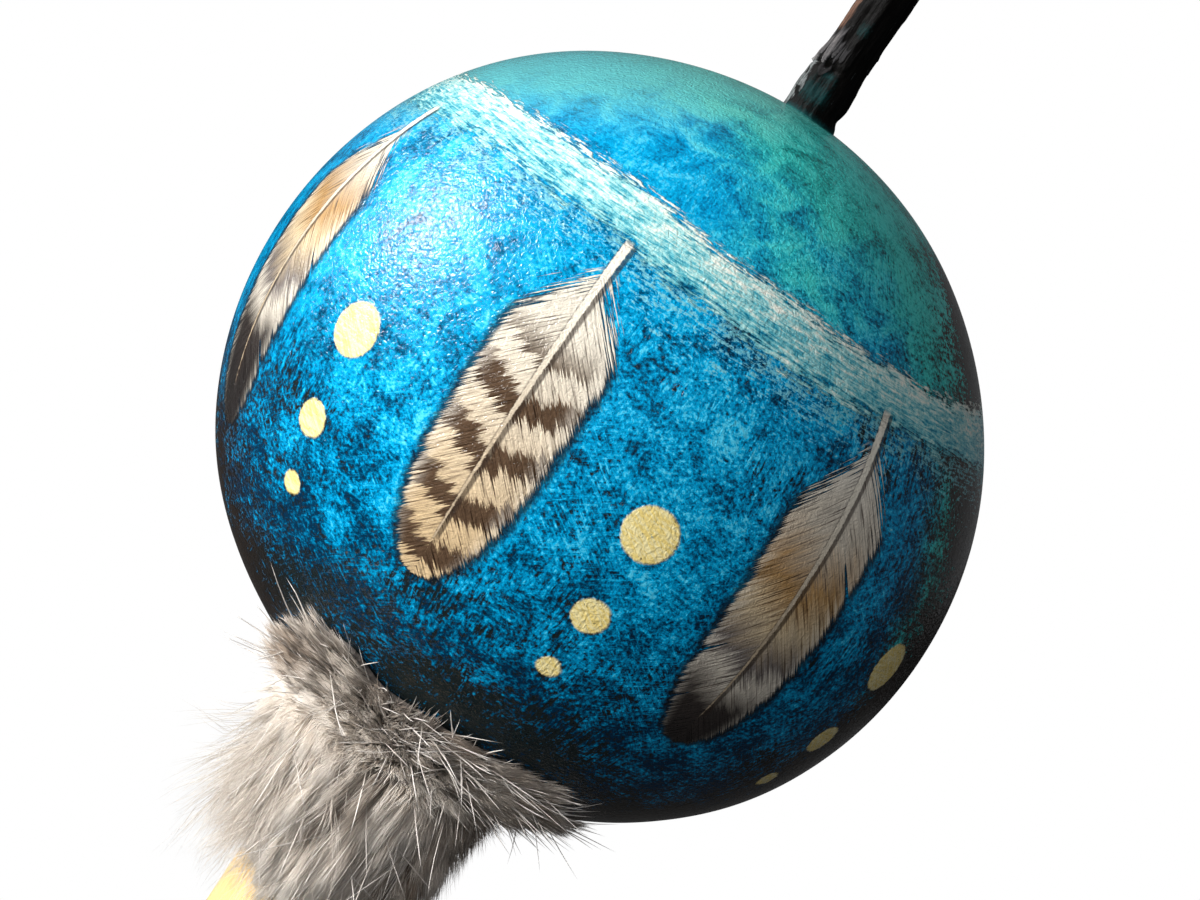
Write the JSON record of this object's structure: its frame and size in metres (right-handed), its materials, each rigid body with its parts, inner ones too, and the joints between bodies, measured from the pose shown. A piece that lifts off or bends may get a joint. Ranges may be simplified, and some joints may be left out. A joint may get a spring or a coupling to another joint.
{
  "type": "gourd rattle",
  "caption": "Hand rattle: a hollow painted gourd with its dried stalk on a leather-wrapped stick, a fur collar over the joint, and loose pebbles inside that sound when it is shaken",
  "frame": {"origin": "middle of the hand grip, on the stick's axis", "axes": "+Z along the stick towards the gourd and its stalk, +X the way the stalk leans, +Y completes a right-handed frame"},
  "size_m": [0.13, 0.13, 0.3099],
  "materials": {
    "painted_gourd": "dry-brushed blue and teal paint over dark brown gourd skin, satin varnish",
    "dry_stalk": "dried stalk, near black, with grey peeling bark",
    "bare_wood": "sanded, oiled",
    "putty": "hard putty, smoothed by hand",
    "buckskin": "golden smoke-tanned buckskin, matt nap",
    "waxed_thread": "waxed sinew thread",
    "rabbit_fur": "grey-brown rabbit fur with pale guard hairs",
    "pebble": "river-worn, matt"
  },
  "bodies": {
    "rattle": {"gourd_shell": "painted_gourd", "gourd_stem": "dry_stalk", "handle_stick": "bare_wood", "putty_fillet": "putty", "handle_wrap": "buckskin", "upper_lashing": "waxed_thread", "lower_lashing": "waxed_thread", "fur_collar": "rabbit_fur"},
    "loose_pebble_1": {"pebble_1": "pebble"},
    "loose_pebble_2": {"pebble_2": "pebble"},
    "loose_pebble_3": {"pebble_3": "pebble"},
    "loose_pebble_4": {"pebble_4": "pebble"},
    "loose_pebble_5": {"pebble_5": "pebble"},
    "loose_pebble_6": {"pebble_6": "pebble"},
    "loose_pebble_7": {"pebble_7": "pebble"},
    "loose_pebble_8": {"pebble_8": "pebble"},
    "loose_pebble_9": {"pebble_9": "pebble"},
    "loose_pebble_10": {"pebble_10": "pebble"},
    "loose_pebble_11": {"pebble_11": "pebble"},
    "loose_pebble_12": {"pebble_12": "pebble"},
    "loose_pebble_13": {"pebble_13": "pebble"},
    "loose_pebble_14": {"pebble_14": "pebble"},
    "loose_pebble_15": {"pebble_15": "pebble"},
    "loose_pebble_16": {"pebble_16": "pebble"},
    "loose_pebble_17": {"pebble_17": "pebble"},
    "loose_pebble_18": {"pebble_18": "pebble"}
  },
  "joints": [
    {"name": "pebble_1_hop", "type": "slide", "parent": "rattle", "child": "loose_pebble_1", "axis": [0, 0, 1], "range_m": [0, 0.1053]},
    {"name": "pebble_2_hop", "type": "slide", "parent": "rattle", "child": "loose_pebble_2", "axis": [0, 0, 1], "range_m": [0, 0.1067]},
    {"name": "pebble_3_hop", "type": "slide", "parent": "rattle", "child": "loose_pebble_3", "axis": [0, 0, 1], "range_m": [0, 0.1052]},
    {"name": "pebble_4_hop", "type": "slide", "parent": "rattle", "child": "loose_pebble_4", "axis": [0, 0, 1], "range_m": [0, 0.106]},
    {"name": "pebble_5_hop", "type": "slide", "parent": "rattle", "child": "loose_pebble_5", "axis": [0, 0, 1], "range_m": [0, 0.1064]},
    {"name": "pebble_6_hop", "type": "slide", "parent": "rattle", "child": "loose_pebble_6", "axis": [0, 0, 1], "range_m": [0, 0.105]},
    {"name": "pebble_7_hop", "type": "slide", "parent": "rattle", "child": "loose_pebble_7", "axis": [0, 0, 1], "range_m": [0, 0.1066]},
    {"name": "pebble_8_hop", "type": "slide", "parent": "rattle", "child": "loose_pebble_8", "axis": [0, 0, 1], "range_m": [0, 0.0985]},
    {"name": "pebble_9_hop", "type": "slide", "parent": "rattle", "child": "loose_pebble_9", "axis": [0, 0, 1], "range_m": [0, 0.0984]},
    {"name": "pebble_10_hop", "type": "slide", "parent": "rattle", "child": "loose_pebble_10", "axis": [0, 0, 1], "range_m": [0, 0.0997]},
    {"name": "pebble_11_hop", "type": "slide", "parent": "rattle", "child": "loose_pebble_11", "axis": [0, 0, 1], "range_m": [0, 0.098]},
    {"name": "pebble_12_hop", "type": "slide", "parent": "rattle", "child": "loose_pebble_12", "axis": [0, 0, 1], "range_m": [0, 0.0992]},
    {"name": "pebble_13_hop", "type": "slide", "parent": "rattle", "child": "loose_pebble_13", "axis": [0, 0, 1], "range_m": [0, 0.0991]},
    {"name": "pebble_14_hop", "type": "slide", "parent": "rattle", "child": "loose_pebble_14", "axis": [0, 0, 1], "range_m": [0, 0.098]},
    {"name": "pebble_15_hop", "type": "slide", "parent": "rattle", "child": "loose_pebble_15", "axis": [0, 0, 1], "range_m": [0, 0.0997]},
    {"name": "pebble_16_hop", "type": "slide", "parent": "rattle", "child": "loose_pebble_16", "axis": [0, 0, 1], "range_m": [0, 0.0983]},
    {"name": "pebble_17_hop", "type": "slide", "parent": "rattle", "child": "loose_pebble_17", "axis": [0, 0, 1], "range_m": [0, 0.0986]},
    {"name": "pebble_18_hop", "type": "slide", "parent": "rattle", "child": "loose_pebble_18", "axis": [0, 0, 1], "range_m": [0, 0.0995]}
  ]
}
